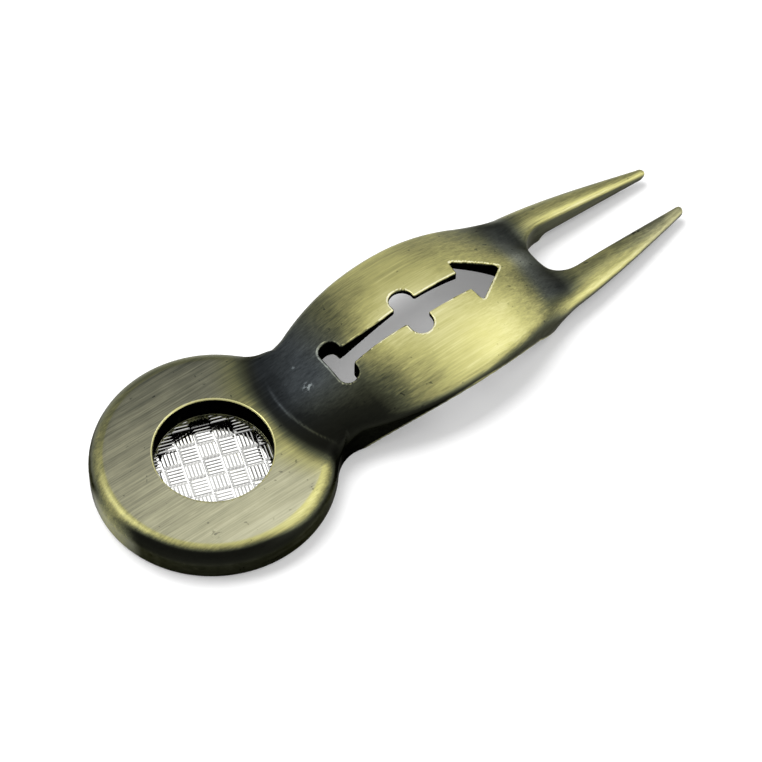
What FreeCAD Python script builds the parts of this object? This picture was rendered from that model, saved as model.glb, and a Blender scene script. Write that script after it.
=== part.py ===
"""Divot repair tool: a two-pronged cast body, a magnetic ball marker under its round head and two magnets.

Frame: millimetres, +X from the round head to the prongs, +Z up through the domed face, Y = 0 the plane of
symmetry. The origin is the middle of the bounding box, at the level of the surface that the tool lies on.
"""

import FreeCAD, Part
import math
import os

from FreeCAD import Placement, Rotation, Vector

SHEET = "Sizes"
UP = Vector(0, 0, 1)

SIZES = {
    # round head
    "overall_length": 86.3,
    "head_diameter": 30.0,
    "head_height": 4.65,
    "rim_rounding": 1.5,
    "foot_rounding": 0.4,
    "push_hole_diameter": 14.5,
    "push_hole_bevel": 0.28,
    # ball marker and the pocket that it sits in
    "marker_diameter": 24.0,
    "marker_thickness": 1.05,
    "marker_rim_width": 1.1,
    "marker_recess_depth": 0.2,
    "marker_side_gap": 0.2,
    "marker_top_gap": 0.12,
    "marker_sink": 0.12,
    # magnets in the ledge above the marker, which keeps a wall on each side of a magnet's hole
    "magnet_wall": 0.625,
    "magnet_thickness": 1.4,
    "magnet_side_gap": 0.05,
    "magnet_glue": 0.1,
    # domed leaf between the head and the prongs; distances run from the head's centre
    "leaf_middle": 31.2,
    "leaf_half_width": 11.4,
    "leaf_side_radius": 37.7,
    "neck_fillet": 3.6,
    "crown_place": 32.0,
    "crown_height": 8.8,
    "crown_radius_rear": 57.0,
    "crown_radius_front": 34.0,
    "crown_radius_across": 25.0,
    "leaf_edge_rounding": 0.8,
    # hollow underneath, which rests on a golf ball, and the metal left between it and the crown
    "ball_seat_radius": 22.0,
    "leaf_wall": 0.85,
    # arrow-shaped sighting slot
    "tail_place": 18.6,
    "tail_lobe_radius": 1.25,
    "tail_lobe_offset": 1.98,
    "shaft_rear_width": 2.4,
    "shaft_front_width": 2.84,
    "crossbar_place": 29.6,
    "crossbar_lobe_radius": 1.54,
    "crossbar_lobe_offset": 2.0,
    "barb_place": 37.6,
    "barb_half_width": 3.55,
    "barb_sweep": 0.5,
    "arrow_tip_place": 43.6,
    "barb_rounding": 0.55,
    # fork
    "fork_root": 49.4,
    "fork_half_gap": 3.85,
    "fork_tip_half_gap": 3.1,
    "fork_root_rounding": 2.3,
    "prong_tip_rounding": 0.85,
    "prong_tip_side": 3.75,
    "prong_tip_level": 1.3,
}

# Prong sections from root to tip. The place is a share of the way from the fork's root to the point, and the
# side is the centre's y. The level and half height are shares of the crown's height.
PRONG_SECTIONS = {
    "buried": (-0.209, 5.9, 0.278, 2.6, 0.233),
    "root": (0.076, 5.7, 0.273, 2.4, 0.216),
    "middle": (0.409, 5.2, 0.244, 1.95, 0.182),
    "slim": (0.741, 4.4, 0.199, 1.25, 0.131),
}
PRONG_SIZE_NAMES = ("place", "side", "level", "half_width", "half_height")

BIG = 60.0  # height of the cutters that pass right through the tool
LOW = str(-BIG / 2)  # level that they start from


def make_sheet(doc):
    """The driving dimensions, one named cell each."""
    sheet = doc.addObject("Spreadsheet::Sheet", SHEET)
    cells = dict(SIZES)
    for section, numbers in PRONG_SECTIONS.items():
        for name, number in zip(PRONG_SIZE_NAMES, numbers):
            cells[f"prong_{section}_{name}"] = number
    for row, (alias, number) in enumerate(cells.items(), 1):
        sheet.set(f"A{row}", alias)
        sheet.set(f"B{row}", str(number))
        sheet.setAlias(f"B{row}", alias)
    doc.recompute()
    return sheet


def cell(alias):
    """Expression text for a cell of the sheet."""
    return f"<<{SHEET}>>.{alias}"


def along(alias):
    """Expression for the x of a place that is measured from the head's centre."""
    return f"{cell('head_diameter')} / 2 - {cell('overall_length')} / 2 + {cell(alias)}"


HEAD_X = f"{cell('head_diameter')} / 2 - {cell('overall_length')} / 2"


def add(doc, kind, name, expressions=None, **values):
    """A document object with plain values and sizes bound to the sheet."""
    obj = doc.addObject(kind, name)
    for prop, value in values.items():
        setattr(obj, prop, value)
    for prop, expression in (expressions or {}).items():
        obj.setExpression(prop, expression)
    return obj


def cylinder(doc, name, radius, height, x, y="0", z="0"):
    return add(doc, "Part::Cylinder", name, {
        "Radius": radius, "Height": height,
        "Placement.Base.x": x, "Placement.Base.y": y, "Placement.Base.z": z,
    })


def box(doc, name, length, width, height, x, y, z):
    return add(doc, "Part::Box", name, {
        "Length": length, "Width": width, "Height": height,
        "Placement.Base.x": x, "Placement.Base.y": y, "Placement.Base.z": z,
    })


def fuse(doc, name, shapes):
    return add(doc, "Part::MultiFuse", name, Shapes=shapes)


def cut(doc, name, base, tool):
    return add(doc, "Part::Cut", name, Base=base, Tool=tool)


def rounded_outline(corners):
    """Closed wire through (x, y, corner radius) points, each corner replaced by a tangent arc."""
    starts, ends, middles = [], [], []
    count = len(corners)
    for i, (x, y, radius) in enumerate(corners):
        corner = Vector(x, y, 0)
        before = Vector(*corners[i - 1][:2], 0) - corner
        after = Vector(*corners[(i + 1) % count][:2], 0) - corner
        before.normalize()
        after.normalize()
        half = before.getAngle(after) / 2
        reach = radius / math.tan(half)
        inward = before + after
        inward.normalize()
        starts.append(corner + before * reach)
        ends.append(corner + after * reach)
        middles.append(corner + inward * (radius / math.sin(half) - radius))
    edges = []
    for i in range(count):
        if corners[i][2] > 0:
            edges.append(Part.Arc(starts[i], middles[i], ends[i]).toShape())
        edges.append(Part.LineSegment(ends[i], starts[(i + 1) % count]).toShape())
    return Part.Wire(edges)


def outline_prism(doc, name, wire, low=-BIG / 2, height=BIG):
    """Solid cutter: an outline in the XY plane, drawn out along Z."""
    outline = doc.addObject("Part::Feature", name + "_outline")
    outline.Shape = Part.Face(wire)
    outline.Placement = Placement(Vector(0, 0, low), Rotation())
    return add(doc, "Part::Extrusion", name, Base=outline, DirMode="Custom", Dir=UP, LengthFwd=height,
               Solid=True)


def make_head(doc, sheet):
    """Round head: a turned disc with a full rounding at its top rim and a small one at its foot."""
    radius = sheet.head_diameter / 2
    height, rim, foot = sheet.head_height, sheet.rim_rounding, sheet.foot_rounding
    diagonal = math.sqrt(0.5)
    profile = Part.Wire([
        Part.LineSegment(Vector(0, 0, 0), Vector(radius - foot, 0, 0)).toShape(),
        Part.Arc(
            Vector(radius - foot, 0, 0),
            Vector(radius - foot + foot * diagonal, 0, foot - foot * diagonal),
            Vector(radius, 0, foot),
        ).toShape(),
        Part.LineSegment(Vector(radius, 0, foot), Vector(radius, 0, height - rim)).toShape(),
        Part.Arc(
            Vector(radius, 0, height - rim),
            Vector(radius - rim + rim * diagonal, 0, height - rim + rim * diagonal),
            Vector(radius - rim, 0, height),
        ).toShape(),
        Part.LineSegment(Vector(radius - rim, 0, height), Vector(0, 0, height)).toShape(),
        Part.LineSegment(Vector(0, 0, height), Vector(0, 0, 0)).toShape(),
    ])
    face = doc.addObject("Part::Feature", "head_profile")
    face.Shape = Part.Face(profile)
    turned = add(doc, "Part::Revolution", "head_disc", Source=face, Axis=UP, Angle=360.0, Solid=True)
    turned.setExpression("Placement.Base.x", HEAD_X)
    return turned


def make_leaf(doc, sheet):
    """Leaf plan of two side arcs, topped by a crown that is arched along and across the tool."""
    side = f"({cell('leaf_side_radius')} - {cell('leaf_half_width')})"
    plans = [
        cylinder(doc, f"leaf_side_{hand}", cell("leaf_side_radius"), "30", along("leaf_middle"), sign + side)
        for hand, sign in (("left", ""), ("right", "-"))
    ]
    plan = add(doc, "Part::MultiCommon", "leaf_plan", Shapes=plans)

    place = sheet.head_diameter / 2 - sheet.overall_length / 2 + sheet.crown_place
    reach = sheet.leaf_half_width + 2
    across = sheet.crown_radius_across
    shoulder = sheet.crown_height - (across - math.sqrt(across**2 - reach**2))
    section = Part.Wire([
        Part.Arc(
            Vector(place, -reach, shoulder),
            Vector(place, 0, sheet.crown_height),
            Vector(place, reach, shoulder),
        ).toShape(),
        Part.LineSegment(Vector(place, reach, shoulder), Vector(place, reach, -1)).toShape(),
        Part.LineSegment(Vector(place, reach, -1), Vector(place, -reach, -1)).toShape(),
        Part.LineSegment(Vector(place, -reach, -1), Vector(place, -reach, shoulder)).toShape(),
    ])
    face = doc.addObject("Part::Feature", "crown_section")
    face.Shape = Part.Face(section)
    halves = []
    for end, turn in (("rear", -30.0), ("front", 52.0)):
        radius = getattr(sheet, f"crown_radius_{end}")
        half = add(doc, "Part::Revolution", f"crown_{end}", Source=face, Axis=Vector(0, 1, 0), Angle=turn,
                   Base=Vector(place, 0, sheet.crown_height - radius), Solid=True)
        halves.append(half)
    crown = fuse(doc, "crown", halves)
    sharp = add(doc, "Part::Common", "leaf_sharp", Base=plan, Tool=crown)
    doc.recompute()
    rounding = sheet.leaf_edge_rounding
    edges = [(i, rounding, rounding) for i, edge in enumerate(sharp.Shape.Edges, 1) if is_shoulder(edge)]
    return add(doc, "Part::Fillet", "leaf", Base=sharp, Edges=edges)


def is_shoulder(edge):
    """True for an edge where the leaf's side meets its crown: up off the base and away from the middle."""
    middle = edge.valueAt((edge.FirstParameter + edge.LastParameter) / 2)
    return middle.z > 1 and abs(middle.y) > 1


def make_neck(doc, sheet):
    """Fillets in plan between the round head and the leaf, as tall as the head's straight side."""
    head_x = sheet.head_diameter / 2 - sheet.overall_length / 2
    head = sheet.head_diameter / 2
    side = sheet.leaf_side_radius
    side_x = head_x + sheet.leaf_middle
    side_y = sheet.leaf_half_width - side
    fillet = sheet.neck_fillet
    # the fillet's centre is a fillet radius outside both the head's circle and the leaf's side arc
    span = math.hypot(side_x - head_x, side_y)
    to_head, to_side = head + fillet, side + fillet
    share = (span**2 + to_head**2 - to_side**2) / (2 * span)
    rise = math.sqrt(to_head**2 - share**2)
    ux, uy = (side_x - head_x) / span, side_y / span
    centre = Vector(head_x + ux * share - uy * rise, uy * share + ux * rise, 0)
    head_centre, side_centre = Vector(head_x, 0, 0), Vector(side_x, side_y, 0)
    on_head = head_centre + (centre - head_centre) * (head / to_head)
    on_side = side_centre + (centre - side_centre) * (side / to_side)
    towards = (on_head + on_side) * 0.5 - centre
    towards.normalize()
    middle = centre + towards * fillet
    inside = Vector(on_head.x, 0, 0)
    top = sheet.head_height - sheet.rim_rounding / 2
    wedges = []
    for hand, sign in (("left", 1), ("right", -1)):
        flip = lambda p: Vector(p.x, sign * p.y, 0)
        wire = Part.Wire([
            Part.Arc(flip(on_head), flip(middle), flip(on_side)).toShape(),
            Part.LineSegment(flip(on_side), Vector(on_side.x, 0, 0)).toShape(),
            Part.LineSegment(Vector(on_side.x, 0, 0), inside).toShape(),
            Part.LineSegment(inside, flip(on_head)).toShape(),
        ])
        wedges.append(outline_prism(doc, f"neck_{hand}", wire, 0, top))
    return wedges


def make_prong(doc, hand, sign):
    """One prong: oval sections that shrink towards a rounded tip."""
    ovals = []
    tip_x = f"({cell('overall_length')} / 2 - {cell('prong_tip_rounding')})"
    root_x = f"({along('fork_root')})"
    for section in PRONG_SECTIONS:
        size = {name: cell(f"prong_{section}_{name}") for name in PRONG_SIZE_NAMES}
        oval = add(doc, "Part::Ellipse", f"prong_{hand}_{section}", {
            "MajorRadius": size["half_width"],
            "MinorRadius": f"{size['half_height']} * {cell('crown_height')}",
        })
        oval.Placement = Placement(Vector(), Rotation(Vector(0, 1, 0), UP, Vector(1, 0, 0), "XYZ"))
        oval.setExpression("Placement.Base.x", f"{root_x} + {size['place']} * ({tip_x} - {root_x})")
        oval.setExpression("Placement.Base.y", f"{sign} * {size['side']}")
        oval.setExpression("Placement.Base.z", f"{size['level']} * {cell('crown_height')}")
        ovals.append(oval)
    # the last oval is a touch smaller than the point's ball, so that their surfaces cross cleanly
    tip = add(doc, "Part::Ellipse", f"prong_{hand}_tip", {
        "MajorRadius": f"0.97 * {cell('prong_tip_rounding')}",
        "MinorRadius": f"0.96 * {cell('prong_tip_rounding')}",
    })
    tip.Placement = Placement(Vector(), Rotation(Vector(0, 1, 0), UP, Vector(1, 0, 0), "XYZ"))
    ball = add(doc, "Part::Sphere", f"prong_{hand}_point", {"Radius": cell("prong_tip_rounding")})
    for obj in (tip, ball):
        obj.setExpression("Placement.Base.x", tip_x)
        obj.setExpression("Placement.Base.y", f"{sign} * {cell('prong_tip_side')}")
        obj.setExpression("Placement.Base.z", cell("prong_tip_level"))
    shank = add(doc, "Part::Loft", f"prong_{hand}_shank", Sections=ovals + [tip], Solid=True, Ruled=False)
    return [shank, ball]


def make_slot(doc, sheet):
    """The arrow-shaped sighting slot, cut straight down: tail, shaft, crossbar and arrowhead."""
    tools = []
    for name in ("tail", "crossbar"):
        radius, offset = cell(f"{name}_lobe_radius"), cell(f"{name}_lobe_offset")
        place = along(f"{name}_place")
        for hand, sign in (("left", ""), ("right", "-")):
            tools.append(cylinder(doc, f"{name}_lobe_{hand}", radius, str(BIG), place, sign + offset, LOW))
        tools.append(box(doc, f"{name}_bar", f"2 * {radius}", f"2 * {offset}", str(BIG),
                         f"{place} - {radius}", f"-{offset}", LOW))
    stretches = (("rear", "tail_place", "crossbar_place"), ("front", "crossbar_place", "barb_place"))
    for end, start, stop in stretches:
        width = cell(f"shaft_{end}_width")
        tools.append(box(doc, f"shaft_{end}", f"{cell(stop)} - {cell(start)} + 0.5", width, str(BIG),
                         along(start), f"-{width} / 2", LOW))
    start = sheet.head_diameter / 2 - sheet.overall_length / 2
    barb, sweep = start + sheet.barb_place, sheet.barb_sweep
    head = rounded_outline([
        (barb, 0, 0),
        (barb + sweep, -sheet.barb_half_width, sheet.barb_rounding),
        (start + sheet.arrow_tip_place, 0, sheet.barb_rounding),
        (barb + sweep, sheet.barb_half_width, sheet.barb_rounding),
    ])
    tools.append(outline_prism(doc, "arrowhead", head))
    return fuse(doc, "slot", tools)


def make_fork_gap(doc, sheet):
    """The gap between the prongs, with a rounded root."""
    start = sheet.head_diameter / 2 - sheet.overall_length / 2
    root, end = start + sheet.fork_root, sheet.overall_length / 2 + 2
    half, tip_half, rounding = sheet.fork_half_gap, sheet.fork_tip_half_gap, sheet.fork_root_rounding
    wire = rounded_outline([
        (root, -half, rounding),
        (end, -tip_half, 0),
        (end, tip_half, 0),
        (root, half, rounding),
    ])
    return outline_prism(doc, "fork_gap", wire)


def pocket_top():
    """Level of the pocket's ceiling, above the marker."""
    return f"({cell('marker_sink')} + {cell('marker_thickness')} + {cell('marker_top_gap')})"


def magnet_diameter():
    """Diameter of a magnet that fits the ledge between the push hole and the pocket's wall."""
    ledge = f"({cell('marker_diameter')} / 2 + {cell('marker_side_gap')} - {cell('push_hole_diameter')} / 2)"
    return f"({ledge} - 2 * {cell('magnet_wall')} - 2 * {cell('magnet_side_gap')})"


def magnet_circle():
    """Radius of the circle that the magnets stand on: the middle of the ledge round the push hole."""
    return f"({cell('push_hole_diameter')} + {cell('marker_diameter')} + 2 * {cell('marker_side_gap')}) / 4"


def make_head_cuts(doc):
    """Push hole with its bevelled mouth, marker pocket and magnet holes."""
    hole = f"{cell('push_hole_diameter')} / 2"
    bevel = cell("push_hole_bevel")
    tools = [
        cylinder(doc, "push_hole", hole, str(BIG), HEAD_X, z=LOW),
        cylinder(doc, "marker_pocket", f"{cell('marker_diameter')} / 2 + {cell('marker_side_gap')}",
                 f"{pocket_top()} + 5", HEAD_X, z="-5"),
        add(doc, "Part::Cone", "push_hole_mouth", {
            "Radius1": hole, "Radius2": f"{hole} + 2 * {bevel}", "Height": f"2 * {bevel}",
            "Placement.Base.x": HEAD_X, "Placement.Base.z": f"{cell('head_height')} - {bevel}",
        }),
    ]
    for number, sign in ((1, ""), (2, "-")):
        tools.append(cylinder(
            doc, f"magnet_hole_{number}", f"{magnet_diameter()} / 2 + {cell('magnet_side_gap')}",
            f"{cell('magnet_thickness')} + {cell('magnet_glue')} + 1", HEAD_X,
            sign + magnet_circle(), f"{pocket_top()} - 1"))
    return fuse(doc, "head_cuts", tools)


def make_tool_body(doc, sheet):
    """The one-piece cast body."""
    leaf = make_leaf(doc, sheet)
    solids = [make_head(doc, sheet), leaf] + make_neck(doc, sheet)
    for hand, sign in (("left", 1), ("right", -1)):
        solids += make_prong(doc, hand, sign)
    blank = fuse(doc, "body_blank", solids)
    seat = add(doc, "Part::Sphere", "ball_seat", {
        "Radius": cell("ball_seat_radius"), "Placement.Base.x": along("leaf_middle"),
        "Placement.Base.z": f"{cell('crown_height')} - {cell('leaf_wall')} - {cell('ball_seat_radius')}",
    })
    openings = [make_slot(doc, sheet), make_fork_gap(doc, sheet), make_head_cuts(doc)]
    cutters = fuse(doc, "body_cuts", [seat] + openings)
    return cut(doc, "tool_body", blank, cutters)


def make_ball_marker(doc):
    """Flat steel disc with a raised rim round its lower face."""
    radius = f"{cell('marker_diameter')} / 2"
    disc = cylinder(doc, "marker_disc", radius, cell("marker_thickness"), HEAD_X, z=cell("marker_sink"))
    recess = cylinder(doc, "marker_recess", f"{radius} - {cell('marker_rim_width')}",
                      f"{cell('marker_recess_depth')} + 1", HEAD_X, z=f"{cell('marker_sink')} - 1")
    return cut(doc, "ball_marker", disc, recess)


def make_magnet(doc, number, sign):
    """Small disc magnet, glued flush with the pocket's ceiling."""
    return cylinder(doc, f"magnet_{number}", f"{magnet_diameter()} / 2", cell("magnet_thickness"),
                    HEAD_X, sign + magnet_circle(), pocket_top())


def check(doc, parts):
    """Stops when any feature failed or any sub-part isn't one valid solid."""
    for obj in doc.Objects:
        if "Invalid" in obj.State or "Error" in obj.State:
            raise RuntimeError(f"{obj.Name} failed: {obj.State}")
    for part in parts:
        shape = part.Shape
        if shape.isNull() or not shape.isValid() or len(shape.Solids) != 1:
            raise RuntimeError(f"{part.Label} is not one valid solid")
        size = shape.BoundBox
        print(part.Label, f"volume {shape.Volume:.2f}", f"x {size.XMin:.2f} {size.XMax:.2f}",
              f"y {size.YMin:.2f} {size.YMax:.2f}", f"z {size.ZMin:.2f} {size.ZMax:.2f}")


def main():
    doc = FreeCAD.newDocument("divot_repair_tool")
    sheet = make_sheet(doc)
    parts = [make_tool_body(doc, sheet), make_ball_marker(doc)]
    parts += [make_magnet(doc, number, sign) for number, sign in ((1, ""), (2, "-"))]
    doc.recompute()
    for part in parts:
        part.Label = part.Name
    check(doc, parts)
    os.makedirs("parts", exist_ok=True)
    for part in parts:
        part.Shape.exportStep(f"parts/{part.Label}.step")


main()
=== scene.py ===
"""Looks of the divot repair tool: a brushed, antiqued brass casting over a nickel-plated ball marker.

Shapes are worked out in millimetres from the centre of the round head, with X towards the prongs, Y across
and Z up. The last step of each mesh puts it into the frame, in metres.
"""

import math

import bpy
import numpy as np
from mathutils import Matrix, Vector


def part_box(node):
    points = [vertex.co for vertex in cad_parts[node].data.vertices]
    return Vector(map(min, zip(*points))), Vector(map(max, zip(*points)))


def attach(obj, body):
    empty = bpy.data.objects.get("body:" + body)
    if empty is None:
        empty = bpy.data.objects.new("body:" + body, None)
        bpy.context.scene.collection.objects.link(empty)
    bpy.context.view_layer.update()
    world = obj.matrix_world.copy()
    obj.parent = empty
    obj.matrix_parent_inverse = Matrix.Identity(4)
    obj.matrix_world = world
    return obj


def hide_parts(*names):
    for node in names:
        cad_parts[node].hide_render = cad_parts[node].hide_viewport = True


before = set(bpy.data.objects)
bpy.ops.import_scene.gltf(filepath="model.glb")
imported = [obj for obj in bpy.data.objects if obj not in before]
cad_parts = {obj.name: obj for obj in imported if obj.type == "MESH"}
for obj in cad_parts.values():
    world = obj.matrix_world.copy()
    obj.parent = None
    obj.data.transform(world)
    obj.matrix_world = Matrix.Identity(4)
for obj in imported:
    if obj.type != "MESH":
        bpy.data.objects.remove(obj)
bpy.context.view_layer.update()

MM = 0.001
marker_low, marker_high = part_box("ball_marker")
magnet_low, magnet_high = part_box("magnet_1")
body_low, body_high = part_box("tool_body")
HEAD_CENTRE = (marker_low.x + marker_high.x) / 2

# Sizes of the casting, in millimetres from the head's centre
HEAD_RADIUS = (HEAD_CENTRE - body_low.x) / MM
TIP_PLACE = (body_high.x - HEAD_CENTRE) / MM - 0.6
HEAD_HEIGHT = 4.65
HEAD_END = 14.0
RIM_ROUNDING = 2.3
FOOT_ROUNDING = 0.4
PUSH_HOLE_RADIUS = 7.25
PUSH_HOLE_BEVEL = 0.26
POCKET_RADIUS = (marker_high.x - marker_low.x) / 2 / MM + 0.2
POCKET_TOP = marker_high.z / MM + 0.12
MAGNET_PLACE = (magnet_low.y + magnet_high.y) / 2 / MM
MAGNET_HOLE_RADIUS = (magnet_high.x - magnet_low.x) / 2 / MM + 0.05
MAGNET_HOLE_TOP = magnet_high.z / MM + 0.1
NECK_FILLET = 3.6
LEAF_MIDDLE = 31.2
LEAF_HALF_WIDTH = 11.4
LEAF_SIDE_RADIUS = 37.7
NECK_EDGE_ROUNDING = 0.8
LEAF_EDGE_ROUNDING = 0.95
CREASE_FILLET = 0.55
CREASE_PLACE = 10.1
CREASE_BOW = 0.036
CROWN_PLACE = 32.0
CROWN_HEIGHT = body_high.z / MM
CROWN_RADIUS_REAR = 59.0
CROWN_RADIUS_FRONT = 34.0
CROWN_RADIUS_ACROSS = 25.0
BALL_SEAT_RADIUS = 22.0
BALL_SEAT_TOP = 7.95
SLOT_EDGE = 0.2
TAIL_PLACE, TAIL_LOBE, TAIL_REACH = 18.6, 1.25, 1.98
CROSSBAR_PLACE, CROSSBAR_LOBE, CROSSBAR_REACH = 29.6, 1.54, 2.0
SHAFT_WAIST_PLACE, SHAFT_WAIST, SHAFT_FLARE = 24.4, 1.12, 0.011
SHAFT_FRONT = 1.42
BARB_PLACE, BARB_REACH, BARB_SWEEP, BARB_ROUNDING = 37.6, 3.55, 0.5, 0.5
ARROW_TIP = 43.6
FORK_ROOT = 49.4
FORK_HALF_GAP = 4.0
FORK_TAPER = 0.036
FORK_ROOT_ROUNDING = 3.7
FORK_EDGE = 0.45
PRONG_START = 44.0
PRONG_FILLET = 1.6
PRONG_POINT = 0.85

# Grid that the casting's skin is found on, and how deep its hollow and proud places are felt for
SKIN_MARGIN = 0.45
SKIN_PITCH = (0.225, 0.2231, 0.215)
HOLLOW_DEPTHS = (0.5, 1.0, 2.0, 4.0)
PROUD_DEPTHS = (0.15, 0.25, 0.4)

# One prong from root to tip: place, sideways centre, level, half width and half height of its oval section
PRONG_STATIONS = (
    (44.0, 6.0, 2.5, 2.5, 2.1),
    (50.0, 5.6, 2.4, 2.45, 2.0),
    (54.0, 5.25, 2.25, 2.4, 1.85),
    (57.0, 4.95, 2.1, 2.3, 1.65),
    (62.0, 4.45, 1.85, 1.75, 1.3),
    (66.7, 4.0, 1.55, 1.1, 1.0),
    (TIP_PLACE - PRONG_POINT, 3.7, 1.35, 0.82, 0.85),
)
PRONG_CURVES = [
    np.polynomial.Polynomial.fit([row[0] for row in PRONG_STATIONS], [row[i] for row in PRONG_STATIONS], 3)
    for i in range(1, 5)
]


def smooth_step(value, low, high):
    """0 below low, 1 above high, and an even rise between them."""
    share = np.clip((value - low) / (high - low), 0, 1)
    return share * share * (3 - 2 * share)


def inside_both(a, b, rounding):
    """Distance to what lies inside both shapes, with the edge between them rounded."""
    over = np.hypot(np.maximum(a + rounding, 0), np.maximum(b + rounding, 0))
    return np.minimum(np.maximum(a, b), -rounding) + over


def inside_either(a, b, fillet):
    """Distance to what lies inside either shape, with a fillet where they meet."""
    under = np.hypot(np.maximum(fillet - a, 0), np.maximum(fillet - b, 0))
    return np.maximum(np.minimum(a, b), fillet) - under


def plan_distance(x, y):
    """Round head and leaf seen from above, with the neck's fillet between them."""
    head = np.hypot(x, y) - HEAD_RADIUS
    inset = LEAF_SIDE_RADIUS - LEAF_HALF_WIDTH
    leaf = np.hypot(x - LEAF_MIDDLE, np.abs(y) + inset) - LEAF_SIDE_RADIUS
    return inside_either(head, leaf, NECK_FILLET)


def crown_distance(x, y, z):
    """Top of the leaf, arched along the tool and across it."""
    radius = np.where(x > CROWN_PLACE, CROWN_RADIUS_FRONT, CROWN_RADIUS_REAR)
    arch = np.hypot(x - CROWN_PLACE, z - CROWN_HEIGHT + radius) - radius
    rise = np.sqrt(np.maximum(CROWN_RADIUS_ACROSS**2 - y**2, 1))
    return (arch + CROWN_RADIUS_ACROSS - rise) / np.hypot(1, y / rise)


def prong_distance(x, y, z):
    """Both prongs: ovals that shrink along the tool and end in a rounded point."""
    point_start = TIP_PLACE - PRONG_POINT
    side, level, half_width, half_height = (curve(np.minimum(x, point_start)) for curve in PRONG_CURVES)
    past = np.maximum(x - point_start, 0) / PRONG_POINT
    across = (np.abs(y) - side) / half_width
    up = (z - level) / half_height
    reach = np.sqrt(past**2 + across**2 + up**2)
    steepness = np.sqrt((past / PRONG_POINT)**2 + (across / half_width)**2 + (up / half_height)**2)
    oval = reach * (reach - 1) / np.maximum(steepness, 1e-6)
    return np.maximum(oval, PRONG_START - x)


def fork_gap_distance(x, y):
    """Gap between the prongs, with a rounded root."""
    half = FORK_HALF_GAP - FORK_TAPER * (x - FORK_ROOT)
    return inside_both(np.abs(y) - half, FORK_ROOT - x, FORK_ROOT_ROUNDING)


def slot_distance(x, y):
    """Arrow-shaped sighting slot: tail, shaft, crossbar and arrowhead."""
    off = np.abs(y)
    tail = np.hypot(x - TAIL_PLACE, np.maximum(off - TAIL_REACH, 0)) - TAIL_LOBE
    crossbar = np.hypot(x - CROSSBAR_PLACE, np.maximum(off - CROSSBAR_REACH, 0)) - CROSSBAR_LOBE
    waist = SHAFT_WAIST + SHAFT_FLARE * (x - SHAFT_WAIST_PLACE) ** 2
    half = np.where(x < CROSSBAR_PLACE, waist, SHAFT_FRONT)
    shaft = np.maximum(off - half, np.maximum(TAIL_PLACE - x, x - BARB_PLACE - 1))
    back = (BARB_PLACE + BARB_SWEEP * off / BARB_REACH - x) / np.hypot(1, BARB_SWEEP / BARB_REACH)
    run = ARROW_TIP - BARB_PLACE - BARB_SWEEP
    blunt = np.hypot(off, 0.3)
    side = ((x - ARROW_TIP) * BARB_REACH + blunt * run) / math.hypot(BARB_REACH, run)
    arrowhead = inside_both(back, side, BARB_ROUNDING)
    bars = inside_either(np.minimum(tail, crossbar), shaft, 0.25)
    return inside_either(bars, arrowhead, 0.2)


def casting_distance(x, y, z):
    """Signed distance, near enough, from the casting's skin: negative inside the metal."""
    plan = plan_distance(x, y)
    head_top = np.maximum(z - HEAD_HEIGHT, x - HEAD_END)
    top = inside_either(head_top, crown_distance(x, y, z), CREASE_FILLET)
    rounding = RIM_ROUNDING + (NECK_EDGE_ROUNDING - RIM_ROUNDING) * smooth_step(x, 10, 17)
    rounding += (LEAF_EDGE_ROUNDING - NECK_EDGE_ROUNDING) * smooth_step(x, 22, 34)
    blank = inside_both(inside_both(plan, top, rounding), -z, FOOT_ROUNDING)
    blank = inside_either(blank, prong_distance(x, y, z), PRONG_FILLET)
    seat_level = z + BALL_SEAT_RADIUS - BALL_SEAT_TOP
    seat = np.sqrt((x - LEAF_MIDDLE) ** 2 + y**2 + seat_level**2) - BALL_SEAT_RADIUS
    blank = inside_both(blank, -seat, 0.3)
    blank = inside_both(blank, -fork_gap_distance(x, y), FORK_EDGE)
    blank = inside_both(blank, -slot_distance(x, y), SLOT_EDGE)
    from_centre = np.hypot(x, y)
    blank = inside_both(blank, PUSH_HOLE_RADIUS - from_centre, PUSH_HOLE_BEVEL)
    pocket = np.maximum(from_centre - POCKET_RADIUS, z - POCKET_TOP)
    magnet = np.maximum(np.hypot(x, np.abs(y) - MAGNET_PLACE) - MAGNET_HOLE_RADIUS, z - MAGNET_HOLE_TOP)
    return np.maximum(blank, -np.minimum(pocket, magnet))


def slope(distance, points, step=0.03):
    """Gradient of a distance at some points."""
    out = np.empty_like(points)
    for axis in range(3):
        shift = np.zeros(3)
        shift[axis] = step
        ahead, behind = points + shift, points - shift
        out[:, axis] = (distance(*ahead.T) - distance(*behind.T)) / (2 * step)
    return out


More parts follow.
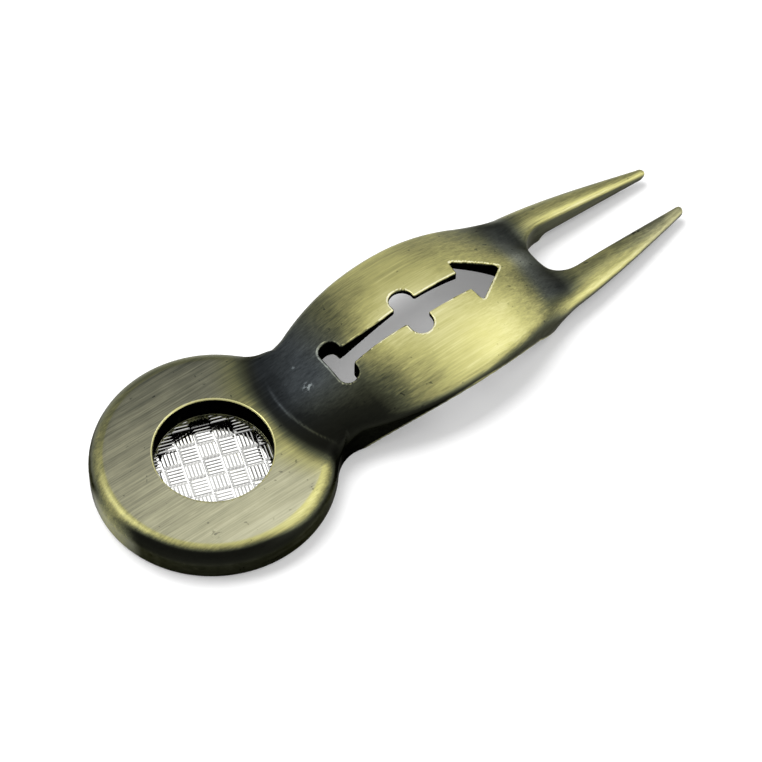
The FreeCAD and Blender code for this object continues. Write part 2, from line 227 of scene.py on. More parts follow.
def skin(distance, low, high, pitch):
    """Points and quads of a distance's zero level: one point in each grid cell that the skin crosses."""
    ticks = [np.arange(low[i], high[i] + pitch[i], pitch[i]) for i in range(3)]
    field = distance(*np.meshgrid(*ticks, indexing="ij"))
    inside = field < 0
    cells = tuple(n - 1 for n in field.shape)
    corners = [(a, b, c) for a in (0, 1) for b in (0, 1) for c in (0, 1)]
    filled = np.zeros(cells, int)
    for a, b, c in corners:
        filled += inside[a:cells[0] + a, b:cells[1] + b, c:cells[2] + c]
    crossed = np.argwhere((filled > 0) & (filled < 8))
    number = np.full(cells, -1)
    number[tuple(crossed.T)] = np.arange(len(crossed))
    total = np.zeros((len(crossed), 3))
    count = np.zeros(len(crossed))
    for start in corners:
        for axis in range(3):
            if start[axis]:
                continue
            end = list(start)
            end[axis] = 1
            near = field[tuple((crossed + start).T)]
            far = field[tuple((crossed + end).T)]
            cuts = (near < 0) != (far < 0)
            share = np.where(cuts, near / np.where(cuts, near - far, 1), 0)
            place = np.tile(np.array(start, float), (len(crossed), 1))
            place[:, axis] = share
            total += place * cuts[:, None]
            count += cuts
    points = np.array(low) + (crossed + total / count[:, None]) * np.array(pitch)
    quads = []
    for axis in range(3):
        first, second = (axis + 1) % 3, (axis + 2) % 3
        near = np.take(inside, range(cells[axis]), axis)
        far = np.take(inside, range(1, cells[axis] + 1), axis)
        edges = np.argwhere(near != far)
        leaving = near[tuple(edges.T)]
        ring = []
        for back_first, back_second in ((1, 1), (0, 1), (0, 0), (1, 0)):
            cell = edges.copy()
            cell[:, first] -= back_first
            cell[:, second] -= back_second
            ring.append(number[tuple(cell.T)])
        ring = np.stack(ring, 1)
        quads.append(np.where(leaving[:, None], ring, ring[:, ::-1]))
    return points, np.concatenate(quads)


def settle(distance, points, rounds=3, most=0.15):
    """Moves points onto the zero level, each by a small distance at most."""
    for _ in range(rounds):
        lean = slope(distance, points)
        steep = np.maximum((lean**2).sum(1), 0.05)
        move = lean * (distance(*points.T) / steep)[:, None]
        length = np.linalg.norm(move, axis=1)
        points = points - move * np.minimum(1, most / np.maximum(length, 1e-9))[:, None]
    return points


def into_frame(points):
    """Millimetres from the head's centre to metres in the frame."""
    return points * MM + np.array([HEAD_CENTRE, 0, 0])


def make_object(name, points, faces, normals=None):
    """Smooth-shaded object whose place is in its mesh."""
    mesh = bpy.data.meshes.new(name)
    mesh.from_pydata(into_frame(points).tolist(), [], faces)
    mesh.validate()
    mesh.shade_smooth()
    if normals is not None:
        mesh.normals_split_custom_set_from_vertices(normals.tolist())
    piece = bpy.data.objects.new(name, mesh)
    bpy.context.scene.collection.objects.link(piece)
    return piece


def store(piece, name, values):
    """A number at each point of the piece, for its material."""
    layer = piece.data.attributes.new(name, "FLOAT", "POINT")
    layer.data.foreach_set("value", np.ascontiguousarray(values, dtype=np.float32))


# How bright the leaf's top is painted along its length, partly the patina brushed off and partly painted
# light, with the dome's highlight and painted shade by the neck: place, far side, middle, near side
LEAF_WEAR_AND_LIGHT = (
    (9.0, 0.13, 0.12, 0.03),
    (12.0, 0.14, 0.15, 0.03),
    (14.5, 0.19, 0.22, 0.02),
    (19.0, 0.26, 0.31, 0.07),
    (22.0, 0.30, 0.54, 0.30),
    (25.0, 0.50, 0.82, 0.56),
    (29.0, 0.66, 0.90, 0.71),
    (35.0, 0.60, 0.83, 0.77),
    (40.0, 0.54, 0.73, 0.78),
    (43.0, 0.35, 0.60, 0.69),
    (46.0, 0.12, 0.33, 0.28),
    (49.0, 0.10, 0.15, 0.10),
)
# The same for the two prongs, where the bright near sides are painted highlights: place, far side, ridge,
# near side
FAR_PRONG_WEAR_AND_LIGHT = (
    (46.0, 0.20, 0.14, 0.14),
    (49.0, 0.38, 0.18, 0.16),
    (52.0, 0.54, 0.50, 0.58),
    (56.0, 0.44, 0.60, 0.90),
    (62.0, 0.26, 0.55, 0.98),
    (71.0, 0.32, 0.52, 1.00),
)
NEAR_PRONG_WEAR_AND_LIGHT = (
    (46.0, 0.16, 0.12, 0.84),
    (49.0, 0.16, 0.16, 0.97),
    (52.0, 0.48, 0.44, 1.00),
    (57.0, 0.46, 0.46, 1.00),
    (62.0, 0.34, 0.42, 0.94),
    (67.0, 0.32, 0.44, 0.88),
    (71.0, 0.40, 0.54, 0.70),
)


def blend_sides(table, x, side):
    """Value of a table at some places; side runs from 1 on the far side to -1 on the near one."""
    places, far, middle, near = np.array(table).T
    value = np.interp(x, places, middle)
    value += (np.interp(x, places, far) - value) * smooth_step(side, 0, 1)
    return value + (np.interp(x, places, near) - value) * smooth_step(-side, 0, 1)


def past_crease(x, y):
    """How far a place is past the bowed crease between the head and the leaf."""
    return x - CREASE_PLACE - CREASE_BOW * y**2


def wear_and_light(points, normals):
    """How bright the brass is painted, from 0 for whole patina and the deepest painted shade to 1 for bare
    brass and the brightest painted highlight.
    """
    x, y = points.T[:2]
    past = past_crease(x, y)
    # painted light on the head's flat: lighter towards its near side, and on its far side darker towards the
    # neck
    head = 0.56 - 0.016 * y - 0.007 * x * smooth_step(y, -6, 4)
    leaf = blend_sides(LEAF_WEAR_AND_LIGHT, x, y / 10)
    # a painted highlight along the crease, and a brighter streak ahead of the arrow
    leaf += 0.15 * np.exp(-(past / 0.15) ** 2) * smooth_step(-y, -5, 0) * smooth_step(y, -9, -6)
    leaf += 0.2 * np.exp(-(y / 1.3) ** 2) * smooth_step(x, 42, 45)
    prong_side, prong_width = PRONG_CURVES[0](x), PRONG_CURVES[2](x)
    across = (y - np.sign(y) * prong_side) / prong_width
    far_prong = blend_sides(FAR_PRONG_WEAR_AND_LIGHT, x, across - 0.2)
    near_prong = blend_sides(NEAR_PRONG_WEAR_AND_LIGHT, x, across + 0.25)
    prong = np.where(y > 0, far_prong, near_prong)
    top = head + (leaf - head) * smooth_step(past, -2.6 - 0.28 * np.minimum(np.abs(y), 8), -1.2)
    outer = smooth_step(-y, 6.3, 7.8)
    in_prong = smooth_step(x, 46.5 - 3 * outer, 50.5 - 1.5 * outer)
    top += (prong - top) * in_prong
    # painted shade: darker down the sides as they turn from facing up, darker still on the head's rim on the
    # side facing the camera, and black in the hole and the slot over their patina; painted light makes the
    # back of the head's wall and the leaf's front walls lighter
    tilt = normals[:, 2]
    shaded = (1 - smooth_step(past, -1, 3)) * (0.3 + 0.7 * smooth_step(-0.63 * x - 0.78 * y, 8, 13))
    facing = smooth_step(tilt, 0.3 - 0.5 * in_prong + 0.45 * shaded, 0.88 - 0.3 * in_prong + 0.1 * shaded)
    wall = 0.10 - 0.06 * smooth_step(x, 8, 14) + 0.09 * smooth_step(x, 25, 38)
    wall += 0.04 * smooth_step(tilt, -0.4, 0.5) + 0.32 * smooth_step(-x - 0.3 * np.abs(y), 12.4, 14.8)
    wall -= 0.08 * shaded * smooth_step(tilt, 0.1, 0.4)
    inner = (np.hypot(x, y) < PUSH_HOLE_RADIUS + 0.15) | (slot_distance(x, y) < 0.05)
    wall = np.where(inner, 0.0, wall)
    return np.clip(wall + (top - wall) * facing, 0, 1)


def slate(points, normals):
    """Share of cold, slate-grey colour on the neck's far side and at the fork's root: partly patina and
    partly painted shade.
    """
    x, y = points.T[:2]
    past = past_crease(x, y)
    neck = smooth_step(past, -2.5, 0) * (1 - smooth_step(x, 15, 22)) * smooth_step(y, -7, 1)
    fork = smooth_step(x, 44.5, 47) * (1 - smooth_step(x, 48, 51)) * smooth_step(y, -7.5, -6)
    return (0.85 * neck + 0.55 * fork) * smooth_step(normals[:, 2], 0.2, 0.6)


def yellow(points, normals):
    """How yellow the brass is: 0 on the head's grey flat and 1 on its rim, by the neck and on the rest."""
    x, y = points.T[:2]
    rim = smooth_step(-normals[:, 2], -0.999, -0.96)
    tip = smooth_step(x, 56, 66) * smooth_step(-y, 0, 2)
    return np.maximum(rim, smooth_step(past_crease(x, y), -9, -2)) * (1 - 0.5 * tip)


def make_casting():
    """The brass casting's skin, with how hollow and proud each point is, how bright it is painted (wear and
    painted light), and its slate share and yellowness.
    """
    low = (-HEAD_RADIUS - SKIN_MARGIN, -HEAD_RADIUS - SKIN_MARGIN, -SKIN_MARGIN)
    high = (TIP_PLACE + SKIN_MARGIN, HEAD_RADIUS + SKIN_MARGIN, CROWN_HEIGHT + SKIN_MARGIN)
    points, quads = skin(casting_distance, low, high, SKIN_PITCH)
    points = settle(casting_distance, points)
    points[:, 2] = np.maximum(points[:, 2], 0)
    lean = slope(casting_distance, points)
    normals = lean / np.maximum(np.linalg.norm(lean, axis=1), 1e-9)[:, None]
    piece = make_object("brass_casting", points, quads.tolist(), normals)
    hollow = np.zeros(len(points))
    proud = np.zeros(len(points))
    for depth in HOLLOW_DEPTHS:
        felt = np.clip(1 - casting_distance(*(points + normals * depth).T) / depth, 0, 1)
        hollow += felt / len(HOLLOW_DEPTHS)
    for depth in PROUD_DEPTHS:
        felt = np.clip(1 + casting_distance(*(points - normals * depth).T) / depth, 0, 1)
        proud += felt / len(PROUD_DEPTHS)
    store(piece, "hollow", hollow)
    store(piece, "proud", proud)
    store(piece, "wear_and_light", wear_and_light(points, normals))
    store(piece, "slate", slate(points, normals))
    store(piece, "yellow", yellow(points, normals))
    return piece


def turned(name, profile, steps=160):
    """Closed piece turned about the head's axis; its (radius, level) points start and end on the axis."""
    turns = np.arange(steps) * (2 * math.pi / steps)
    points = [(0.0, 0.0, profile[0][1])]
    for radius, level in profile[1:-1]:
        points += [(radius * math.cos(t), radius * math.sin(t), level) for t in turns]
    points.append((0.0, 0.0, profile[-1][1]))
    rings = len(profile) - 2
    faces = []
    for i in range(steps):
        j = (i + 1) % steps
        faces.append((0, 1 + i, 1 + j))
        for ring in range(rings - 1):
            near, far = 1 + ring * steps, 1 + (ring + 1) * steps
            faces.append((near + i, far + i, far + j, near + j))
        near = 1 + (rings - 1) * steps
        faces.append((near + i, len(points) - 1, near + j))
    return make_object(name, np.array(points), faces)


def arc(centre_radius, centre_level, rounding, start, end, count=5):
    """Points of a rounding, from one angle to another in degrees."""
    angles = [math.radians(start + (end - start) * i / count) for i in range(count + 1)]
    return [(centre_radius + rounding * math.cos(a), centre_level + rounding * math.sin(a)) for a in angles]


# The weave's bars are higher than it stands out, so that their feet sink into the marker's back.
# The turn is in degrees, against the tool's length.
WEAVE_HEIGHT = 0.12
BAR_HEIGHT = 0.16
WEAVE_TURN = -19.0
MARKER_RADIUS = (marker_high.x - marker_low.x) / 2 / MM
MARKER_LOW = marker_low.z / MM
MARKER_BACK = marker_high.z / MM - WEAVE_HEIGHT
WEAVE_TOP = MARKER_BACK + WEAVE_HEIGHT


def make_marker_disc():
    """Steel disc: flat back, rounded edges and a low rim round the face, which points down."""
    edge = 0.22
    rim_edge = 0.15
    rim_inner = MARKER_RADIUS - 1.1
    recess = MARKER_LOW + 0.2
    flat = 9.0
    profile = [(0.0, MARKER_BACK), (flat, MARKER_BACK)]
    profile += arc(MARKER_RADIUS - edge, MARKER_BACK - edge, edge, 90, 0)
    profile += arc(MARKER_RADIUS - edge, MARKER_LOW + edge, edge, 0, -90)
    profile += arc(rim_inner + rim_edge, MARKER_LOW + rim_edge, rim_edge, -90, -180)
    profile += [(rim_inner - 0.05, recess), (0.0, recess)]
    return turned("ball_marker_disc", profile)


class Graph:
    """A node tree that is filled by plain calls."""

    def __init__(self, tree):
        self.tree = tree

    def add(self, kind, inputs=None, **settings):
        node = self.tree.nodes.new(kind)
        for name, value in settings.items():
            setattr(node, name, value)
        for key, value in (inputs or {}).items():
            self.feed(node.inputs[key], value)
        return node

    def feed(self, socket, value):
        if isinstance(value, bpy.types.NodeSocket):
            self.tree.links.new(value, socket)
        elif isinstance(value, bpy.types.Node):
            self.tree.links.new(value.outputs[0], socket)
        else:
            socket.default_value = value

    def math(self, operation, a, b=0.0, clamp=False):
        kind = "ShaderNodeMath"
        return self.add(kind, {0: a, 1: b}, operation=operation, use_clamp=clamp).outputs[0]

    def mix(self, share, a, b, blend="MIX"):
        node = self.add("ShaderNodeMix", {0: share, 6: a, 7: b}, data_type="RGBA", blend_type=blend)
        return node.outputs[2]

    def ramp(self, value, low, high, start=0.0, end=1.0):
        """Value taken from low..high to start..end with a smooth rise, held at both ends."""
        keys = {"Value": value, "From Min": low, "From Max": high, "To Min": start, "To Max": end}
        return self.add("ShaderNodeMapRange", keys, interpolation_type="SMOOTHSTEP").outputs[0]


def weave_tree():
    """Basket weave on the marker's back: square blocks of bars that run along and across by turns."""
    tree = bpy.data.node_groups.new("basket_weave", "GeometryNodeTree")
    face = tree.interface
    sizes = (
        ("Pitch", 2.4 * MM),
        ("Groove", 0.02 * MM),
        ("Seam", 0.14 * MM),
        ("Height", BAR_HEIGHT * MM),
        ("Bevel", 0.035 * MM),
        ("Field Radius", 10.2 * MM),
        ("Level", 1.0 * MM),
        ("Centre", 0.0),
        ("Turn", 0.0),
    )
    for name, value in sizes:
        face.new_socket(name, in_out="INPUT", socket_type="NodeSocketFloat").default_value = value
    face.new_socket("Bars", in_out="INPUT", socket_type="NodeSocketInt").default_value = 5
    face.new_socket("Blocks", in_out="INPUT", socket_type="NodeSocketInt").default_value = 11
    face.new_socket("Finish", in_out="INPUT", socket_type="NodeSocketMaterial")
    face.new_socket("Weave", in_out="OUTPUT", socket_type="NodeSocketGeometry")
    g = Graph(tree)
    given = g.add("NodeGroupInput").outputs
    pitch, bars = given["Pitch"], given["Bars"]
    length = g.math("SUBTRACT", pitch, given["Seam"])
    step = g.math("DIVIDE", length, bars)
    width = g.math("SUBTRACT", step, given["Groove"])
    size = g.add("ShaderNodeCombineXYZ", {0: length, 1: width, 2: given["Height"]})
    bar = g.add("GeometryNodeMeshCube", {"Size": size, "Vertices X": 9, "Vertices Y": 5, "Vertices Z": 2})
    place = g.add("ShaderNodeSeparateXYZ", {0: g.add("GeometryNodeInputPosition")})
    across = g.math("POWER", g.math("DIVIDE", place.outputs[1], g.math("DIVIDE", width, 2.0)), 6.0)
    endways = g.math("POWER", g.math("DIVIDE", place.outputs[0], g.math("DIVIDE", length, 2.0)), 12.0)
    top = g.math("GREATER_THAN", place.outputs[2], 0.0)
    sag = g.math("MULTIPLY", g.math("MAXIMUM", across, endways), given["Bevel"])
    drop = g.add("ShaderNodeCombineXYZ", {2: g.math("MULTIPLY", g.math("MULTIPLY", sag, top), -1.0)})
    bar = g.add("GeometryNodeSetPosition", {"Geometry": bar.outputs["Mesh"], "Offset": drop})
    first = g.math("MULTIPLY", g.math("MULTIPLY", step, g.math("SUBTRACT", bars, 1.0)), -0.5)
    row = g.add("GeometryNodeMeshLine", {
        "Count": bars, "Start Location": g.add("ShaderNodeCombineXYZ", {1: first}),
        "Offset": g.add("ShaderNodeCombineXYZ", {1: step})})
    block = g.add("GeometryNodeInstanceOnPoints", {"Points": row, "Instance": bar})
    block = g.add("GeometryNodeRealizeInstances", {0: block})
    side = g.math("MULTIPLY", pitch, g.math("SUBTRACT", given["Blocks"], 1.0))
    field = g.add("GeometryNodeMeshGrid", {
        "Size X": side, "Size Y": side, "Vertices X": given["Blocks"], "Vertices Y": given["Blocks"]})
    spot = g.add("GeometryNodeInputPosition").outputs[0]
    radius = g.add("ShaderNodeVectorMath", {0: spot}, operation="LENGTH").outputs["Value"]
    outside = g.math("GREATER_THAN", radius, given["Field Radius"])
    kept = g.add("GeometryNodeDeleteGeometry", {"Geometry": field.outputs["Mesh"], "Selection": outside},
                 domain="POINT")
    where = g.add("ShaderNodeSeparateXYZ", {0: spot})
    column = g.math("ROUND", g.math("DIVIDE", where.outputs[0], pitch))
    line = g.math("ROUND", g.math("DIVIDE", where.outputs[1], pitch))
    odd = g.math("PINGPONG", g.math("ADD", column, line), 1.0)
    quarter = g.add("ShaderNodeCombineXYZ", {2: g.math("MULTIPLY", odd, math.pi / 2)})
    woven = g.add("GeometryNodeInstanceOnPoints", {"Points": kept, "Instance": block, "Rotation": quarter})
    centre = g.add("ShaderNodeCombineXYZ", {0: given["Centre"], 2: given["Level"]})
    turn = g.add("ShaderNodeCombineXYZ", {2: given["Turn"]})
    laid = g.add("GeometryNodeTransform", {"Geometry": woven, "Translation": centre, "Rotation": turn})
    whole = g.add("GeometryNodeRealizeInstances", {0: laid})
    finished = g.add("GeometryNodeSetMaterial", {"Geometry": whole, "Material": given["Finish"]})
    g.add("NodeGroupOutput", {0: finished})
    return tree


def make_weave(finish):
    """The raised basket weave, turned against the tool's length, as one plain mesh."""
    tree = weave_tree()
    carrier = bpy.data.objects.new("weave_carrier", bpy.data.meshes.new("weave_carrier"))
    bpy.context.scene.collection.objects.link(carrier)
    modifier = carrier.modifiers.new("weave", "NODES")
    modifier.node_group = tree
    values = {"Centre": HEAD_CENTRE, "Turn": math.radians(WEAVE_TURN),
              "Level": (WEAVE_TOP - BAR_HEIGHT / 2) * MM, "Finish": finish}
    for item in tree.interface.items_tree:
        if item.in_out == "INPUT" and item.name in values:
            modifier[item.identifier] = values[item.name]
    evaluated = carrier.evaluated_get(bpy.context.evaluated_depsgraph_get())
    mesh = bpy.data.meshes.new_from_object(evaluated)
    mesh.name = "ball_marker_weave"
    piece = bpy.data.objects.new("ball_marker_weave", mesh)
    bpy.context.scene.collection.objects.link(piece)
    bpy.data.objects.remove(carrier)
    return piece


def new_material(name):
    """Empty material and the graph that fills it."""
    material = bpy.data.materials.new(name)
    material.use_nodes = True
    material.node_tree.nodes.clear()
    return material, Graph(material.node_tree)


def object_place(g, scale):
    """Object coordinates in millimetres, stretched by a scale along each axis."""
    spot = g.add("ShaderNodeTexCoord").outputs["Object"]
    factors = tuple(s / MM for s in scale)
    return g.add("ShaderNodeMapping", {"Vector": spot, "Scale": factors}).outputs[0]


def noise(g, scale, detail=2.0, roughness=0.5, stretch=(1, 1, 1)):
    """Noise with `scale` patches to a millimetre; a stretch under 1 draws it out along that axis."""
    place = object_place(g, tuple(scale * s for s in stretch))
    keys = {"Vector": place, "Scale": 1.0, "Detail": detail, "Roughness": roughness}
    return g.add("ShaderNodeTexNoise", keys).outputs[0]


def attribute(g, name):
    return g.add("ShaderNodeAttribute", attribute_name=name).outputs["Fac"]


def shade(red, green, blue):
    """Colour from the usual 0 to 255 values."""
    channels = (red, green, blue)
    return tuple(((c / 255 + 0.055) / 1.055) ** 2.4 if c > 10 else c / 3294 for c in channels) + (1,)


# Brass colour by tone, from whole patina and the deepest painted shade to bare brass and the brightest
# painted highlight
BRASS_TONE_COLOURS = (
    (0.00, shade(11, 11, 10)),
    (0.12, shade(32, 33, 27)),
    (0.28, shade(74, 76, 58)),
    (0.42, shade(108, 108, 76)),
    (0.58, shade(150, 147, 98)),
    (0.74, shade(190, 186, 122)),
    (0.86, shade(215, 211, 153)),
    (1.00, shade(243, 240, 205)),
)


# Small marks on the top: place, sideways place, radius, and how far each bares the brass.
# A number below 0 stains it instead.
MARKS = (
    (13.9, -0.1, 0.9, 0.30),
    (14.2, 3.3, 0.3, 0.20),
    (62.6, -3.9, 0.8, -0.30),
    (6.5, -11.4, 0.7, -0.22),
    (-6.5, -9.8, 0.9, -0.20),
)


def worked_tone(g, brushing, pits, scratches):
    """Tone from 0, whole patina, to 1, bare brass, with its brushing, clouding and wear, painted shade in
    its hollows on top of their patina, and painted glints on its proud edges.
    """
    brightness = attribute(g, "wear_and_light")
    streaks = noise(g, 1.5, 3.0, 0.6, (0.045, 1, 1))
    cloud = noise(g, 0.16, 3.0, 0.55)
    worked = g.math("MULTIPLY", g.math("SUBTRACT", brushing, 0.5), 0.5)
    worked = g.math("ADD", worked, g.math("MULTIPLY", g.math("SUBTRACT", streaks, 0.5), 0.24))
    worked = g.math("ADD", worked, g.math("MULTIPLY", g.math("SUBTRACT", cloud, 0.5), 0.22))
    worked = g.math("SUBTRACT", worked, g.math("MULTIPLY", pits, 0.16))
    worked = g.math("ADD", worked, g.math("MULTIPLY", scratches, 0.06))
    even = g.math("MULTIPLY", g.ramp(brightness, 0.05, 0.45, 0.1, 1.0), g.ramp(brightness, 0.6, 0.85, 1.0, 0.6))
    tone = g.math("ADD", brightness, g.math("MULTIPLY", worked, even))
    # darker in the hollows: partly patina kept there, partly painted shade
    tone = g.math("SUBTRACT", tone, g.math("MULTIPLY", attribute(g, "hollow"), 0.55))
    # brighter on proud edges: partly rubbed bare, partly painted glints
    edge_wear_and_glint = g.ramp(attribute(g, "proud"), 0.10, 0.24)
    patchy = g.ramp(noise(g, 0.8, 3.0, 0.6), 0.3, 0.6, 0.5, 1.0)
    return g.math("ADD", tone, g.math("MULTIPLY", g.math("MULTIPLY", edge_wear_and_glint, patchy), 0.4), True)


def marked_tone(g, tone):
    """Tone with the small marks on the top and the bright ring round the push hole's lip, a painted
    highlight on its bevel.
    """
    spot = g.add("ShaderNodeSeparateXYZ", {0: object_place(g, (1, 1, 1))}).outputs
    centred = g.math("SUBTRACT", spot[0], HEAD_CENTRE / MM)
    radius = g.math("SQRT", g.math("ADD", g.math("POWER", centred, 2.0), g.math("POWER", spot[1], 2.0)))
    crumbs = g.ramp(noise(g, 2.6, 2.0, 0.6, (0.6, 1, 1)), 0.48, 0.58)
    crumbs = g.math("MULTIPLY", crumbs, g.ramp(spot[2], 2.2, 2.8))
    for along, across, reach, change in MARKS:
        ahead = g.math("POWER", g.math("SUBTRACT", centred, along), 2.0)
        beside = g.math("POWER", g.math("SUBTRACT", spot[1], across), 2.0)
        near = g.ramp(g.math("SQRT", g.math("ADD", ahead, beside)), reach, reach * 0.3)
        tone = g.math("ADD", tone, g.math("MULTIPLY", g.math("MULTIPLY", near, crumbs), change), True)
    # painted highlight on the push hole's bevel
    lip = g.math("MULTIPLY", g.ramp(radius, PUSH_HOLE_RADIUS + 0.30, PUSH_HOLE_RADIUS + 0.18),
                 g.ramp(spot[2], HEAD_HEIGHT - 0.26, HEAD_HEIGHT - 0.16))
    return g.math("MAXIMUM", tone, g.math("MULTIPLY", lip, 0.84))


def patina_colour(g, tone):
    """Colour of a tone, greyer on the head's flat and slate-grey where the slate share is, partly patina and
    partly painted shade.
    """
    ramp = g.add("ShaderNodeValToRGB", {0: tone})
    stops = ramp.color_ramp.elements
    while len(stops) < len(BRASS_TONE_COLOURS):
        stops.new(0.5)
    for stop, (place, colour) in zip(stops, BRASS_TONE_COLOURS):
        stop.position = place
        stop.color = colour
    colourful = g.ramp(attribute(g, "yellow"), 0.0, 1.0, 0.55, 1.0)
    base = g.add("ShaderNodeHueSaturation", {"Saturation": colourful, "Color": ramp.outputs[0]})
    grey = g.add("ShaderNodeHueSaturation", {"Saturation": 0.0, "Color": ramp.outputs[0]})
    cold = g.mix(1.0, grey.outputs[0], (0.86, 1.0, 1.16, 1), "MULTIPLY")
    return g.mix(attribute(g, "slate"), base.outputs[0], cold)


def antique_brass():
    """Brass brushed along the tool: dark patina in its hollows, deepened by painted shade, and bare metal
    where it is polished and worn, brightened by painted highlights.
    """
    material, g = new_material("antique_brass")
    brushing = noise(g, 5.0, 4.0, 0.7, (0.022, 1, 1))
    scratches = g.ramp(noise(g, 1.6, 1.0, 0.3, (0.12, 1, 1)), 0.70, 0.74)
    pits = g.ramp(noise(g, 1.4, 1.0, 0.4), 0.74, 0.78)
    tone = marked_tone(g, worked_tone(g, brushing, pits, scratches))
    rough = g.math("ADD", g.ramp(brushing, 0.3, 0.7, 0.34, 0.46), g.math("MULTIPLY", tone, 0.04))
    height = g.math("MULTIPLY", brushing, 0.75)
    height = g.math("ADD", height, g.math("MULTIPLY", noise(g, 9.0, 1.0, 0.5, (0.05, 1, 1)), 0.25))
    height = g.math("SUBTRACT", height, g.math("MULTIPLY", g.math("ADD", pits, scratches), 0.4))
    bump = g.add("ShaderNodeBump", {"Strength": 0.2, "Distance": 0.05 * MM, "Height": height})
    # whole patina hardly shines even at a glancing angle
    edge = g.mix(g.ramp(tone, 0.0, 0.25), (0.06, 0.06, 0.05, 1), (1, 1, 0.9, 1))
    shader = g.add("ShaderNodeBsdfPrincipled", {
        "Base Color": patina_colour(g, tone), "Metallic": 1.0, "Roughness": rough, "Specular Tint": edge,
        "Normal": bump.outputs[0]})
    g.add("ShaderNodeOutputMaterial", {"Surface": shader})
    return material


def nickel(name, colour, rough_low, rough_high, groove_shade_levels=None):
    """Nickel plate with fine scratches and faint clouding, and painted shade, a grey, in the grooves where
    their levels are given.
    """
    material, g = new_material(name)
    cloud = noise(g, 0.5, 3.0, 0.6)
    scratch = g.ramp(noise(g, 5.0, 1.0, 0.4, (0.06, 1, 1)), 0.62, 0.72)
    tint = tuple(c * 0.8 for c in colour[:3]) + (1,)
    base = g.mix(g.ramp(cloud, 0.35, 0.7, 0.0, 0.6), colour, tint)
    if groove_shade_levels:
        # painted shade: grey down the bars' sides, in the grooves between them
        spot = g.add("ShaderNodeSeparateXYZ", {0: object_place(g, (1, 1, 1))})
        base = g.mix(g.ramp(spot.outputs[2], groove_shade_levels[1], groove_shade_levels[0]), base, shade(175, 175, 177))
    rough = g.math("ADD", g.ramp(cloud, 0.3, 0.7, rough_low, rough_high), g.math("MULTIPLY", scratch, 0.12))
    bump = g.add("ShaderNodeBump", {"Strength": 0.1, "Distance": 0.02 * MM, "Height": scratch})
    shader = g.add("ShaderNodeBsdfPrincipled", {
        "Base Color": base, "Metallic": 1.0, "Roughness": rough, "Normal": bump.outputs[0]})
    g.add("ShaderNodeOutputMaterial", {"Surface": shader})
    return material


def finish_with(piece, material):
    piece.data.materials.clear()
    piece.data.materials.append(material)


def make_floor():
    """Pale floor just under the tool, which renders white and still takes the tool's shadow."""
    half = 1.5
    drop = 0.02 * MM
    whiteness = 0.23
    material, g = new_material("pale_floor")
    ray = g.add("ShaderNodeLightPath")
    seen = g.math("MAXIMUM", ray.outputs["Is Camera Ray"], ray.outputs["Is Glossy Ray"])
    seen = g.math("MAXIMUM", seen, ray.outputs["Is Transmission Ray"])
    paint = g.add("ShaderNodeBsdfDiffuse", {"Color": (0.8, 0.8, 0.8, 1)})
    strength = g.math("MULTIPLY", seen, whiteness)
    glow = g.add("ShaderNodeEmission", {"Color": (1, 1, 1, 1), "Strength": strength})
    g.add("ShaderNodeOutputMaterial", {"Surface": g.add("ShaderNodeAddShader", {0: paint, 1: glow})})
    corners = [(-half, -half, 0), (half, -half, 0), (half, half, 0), (-half, half, 0)]
    mesh = bpy.data.meshes.new("floor")
    mesh.from_pydata(corners, [], [(0, 1, 2, 3)])
    floor = bpy.data.objects.new("floor", mesh)
    floor.location.z = -drop
    bpy.context.scene.collection.objects.link(floor)
    finish_with(floor, material)


def make_soft_box(name, place, aim, size, power, mirrored=True):
    """Square lamp that points from its place to its aim, and may be left out of the metal's reflections."""
    lamp = bpy.data.lights.new(name, "AREA")
    lamp.shape = "SQUARE"
    lamp.size = size
    lamp.energy = power
    holder = bpy.data.objects.new(name, lamp)
    place = Vector(place)
    turn = (Vector(aim) - place).to_track_quat("-Z", "Y").to_matrix().to_4x4()
    holder.matrix_world = Matrix.Translation(place) @ turn
    holder.visible_glossy = mirrored
    bpy.context.scene.collection.objects.link(holder)


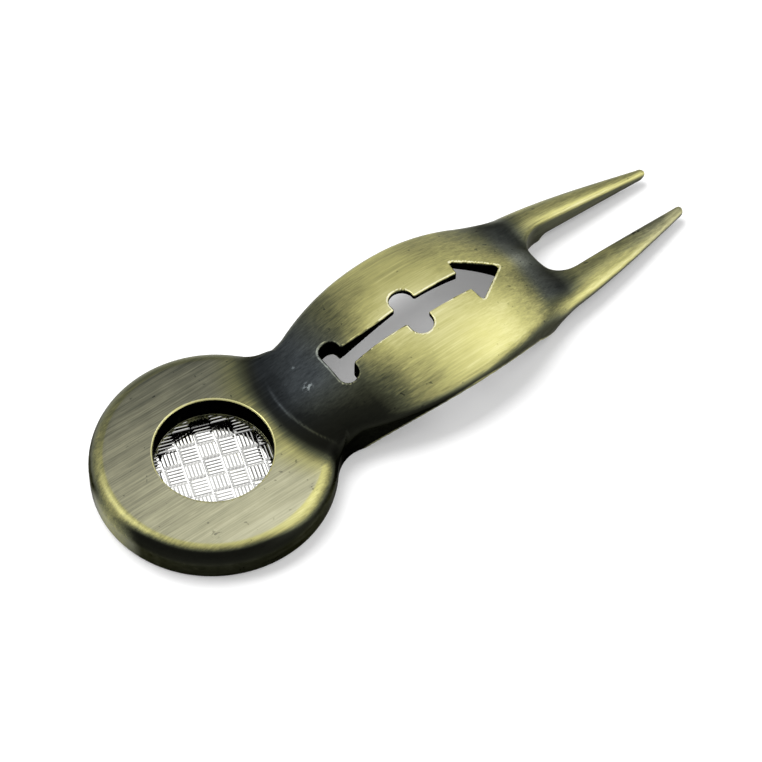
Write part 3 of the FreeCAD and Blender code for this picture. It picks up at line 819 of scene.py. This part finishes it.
def make_lights():
    """Five soft boxes and a pale surround, which looks brighter in the metal than it lights.

    The large far box lights the tool from its far side and is left out of reflections. The other four are
    mirrored: one beyond the prongs, one beyond the head, one that the ball marker sends to the viewer, and a
    low one on the near side.
    """
    make_soft_box("far_box", (0.0, 0.34, 0.5), (0, 0, 0), 0.42, 3.6, False)
    make_soft_box("overhead_box", (0.36, -0.1, 0.5), (0, 0, 0), 0.36, 0.65)
    make_soft_box("left_box", (-0.36, 0.3, 0.5), (0, 0, 0), 0.2, 1.0)
    make_soft_box("marker_box", (0.2, 0.268, 0.49), (HEAD_CENTRE, 0, 0), 0.15, 0.08)
    make_soft_box("low_box", (0.25, -0.6, 0.22), (0, 0, 0), 0.3, 0.8)
    world = bpy.data.worlds.new("studio")
    bpy.context.scene.world = world
    world.use_nodes = True
    g = Graph(world.node_tree)
    world.node_tree.nodes.clear()
    ray = g.add("ShaderNodeLightPath")
    mirrored = g.math("MAXIMUM", ray.outputs["Is Glossy Ray"], ray.outputs["Is Transmission Ray"])
    strength = g.math("ADD", g.math("MULTIPLY", mirrored, 0.3), 0.45)
    air = g.add("ShaderNodeBackground", {"Color": (1, 1, 1, 1), "Strength": strength})
    g.add("ShaderNodeOutputWorld", {"Surface": air})


def make_camera():
    """The view: over the head's near side, with the prongs pointing away to the upper right."""
    elevation, azimuth, roll = math.radians(55.06), math.radians(-38.74), math.radians(1.81)
    distance, aim_along, aim_across = 358.3 * MM, 24.09 * MM, -1.45 * MM
    target = Vector((HEAD_CENTRE + aim_along, aim_across, 0))
    back = Vector((math.sin(azimuth) * math.cos(elevation), -math.cos(azimuth) * math.cos(elevation),
                   math.sin(elevation)))
    level = Vector((math.cos(azimuth), math.sin(azimuth), 0))
    upright = back.cross(level)
    right = level * math.cos(roll) + upright * math.sin(roll)
    up = upright * math.cos(roll) - level * math.sin(roll)
    lens = bpy.data.cameras.new("camera")
    lens.sensor_width = 36
    lens.lens = 137.5
    lens.clip_start = 0.01
    camera = bpy.data.objects.new("camera", lens)
    place = target + back * distance
    camera.matrix_world = Matrix((
        (right.x, up.x, back.x, place.x),
        (right.y, up.y, back.y, place.y),
        (right.z, up.z, back.z, place.z),
        (0, 0, 0, 1),
    ))
    bpy.context.scene.collection.objects.link(camera)
    bpy.context.scene.camera = camera


casting = make_casting()
finish_with(casting, antique_brass())
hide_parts("tool_body")
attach(casting, "tool")

marker_nickel = nickel("marker_nickel", shade(236, 236, 232), 0.05, 0.12)
disc = make_marker_disc()
finish_with(disc, marker_nickel)
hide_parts("ball_marker")
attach(disc, "marker")

groove_shade_levels = (WEAVE_TOP - 0.06, WEAVE_TOP - 0.01)
weave_nickel = nickel("weave_nickel", shade(240, 240, 236), 0.04, 0.09, groove_shade_levels)
weave = make_weave(weave_nickel)
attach(weave, "marker")

magnet_nickel = nickel("magnet_nickel", (0.7, 0.7, 0.68, 1), 0.2, 0.3)
for name in ("magnet_1", "magnet_2"):
    finish_with(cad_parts[name], magnet_nickel)

make_floor()
make_lights()
make_camera()
bpy.context.scene.view_settings.view_transform = "Standard"
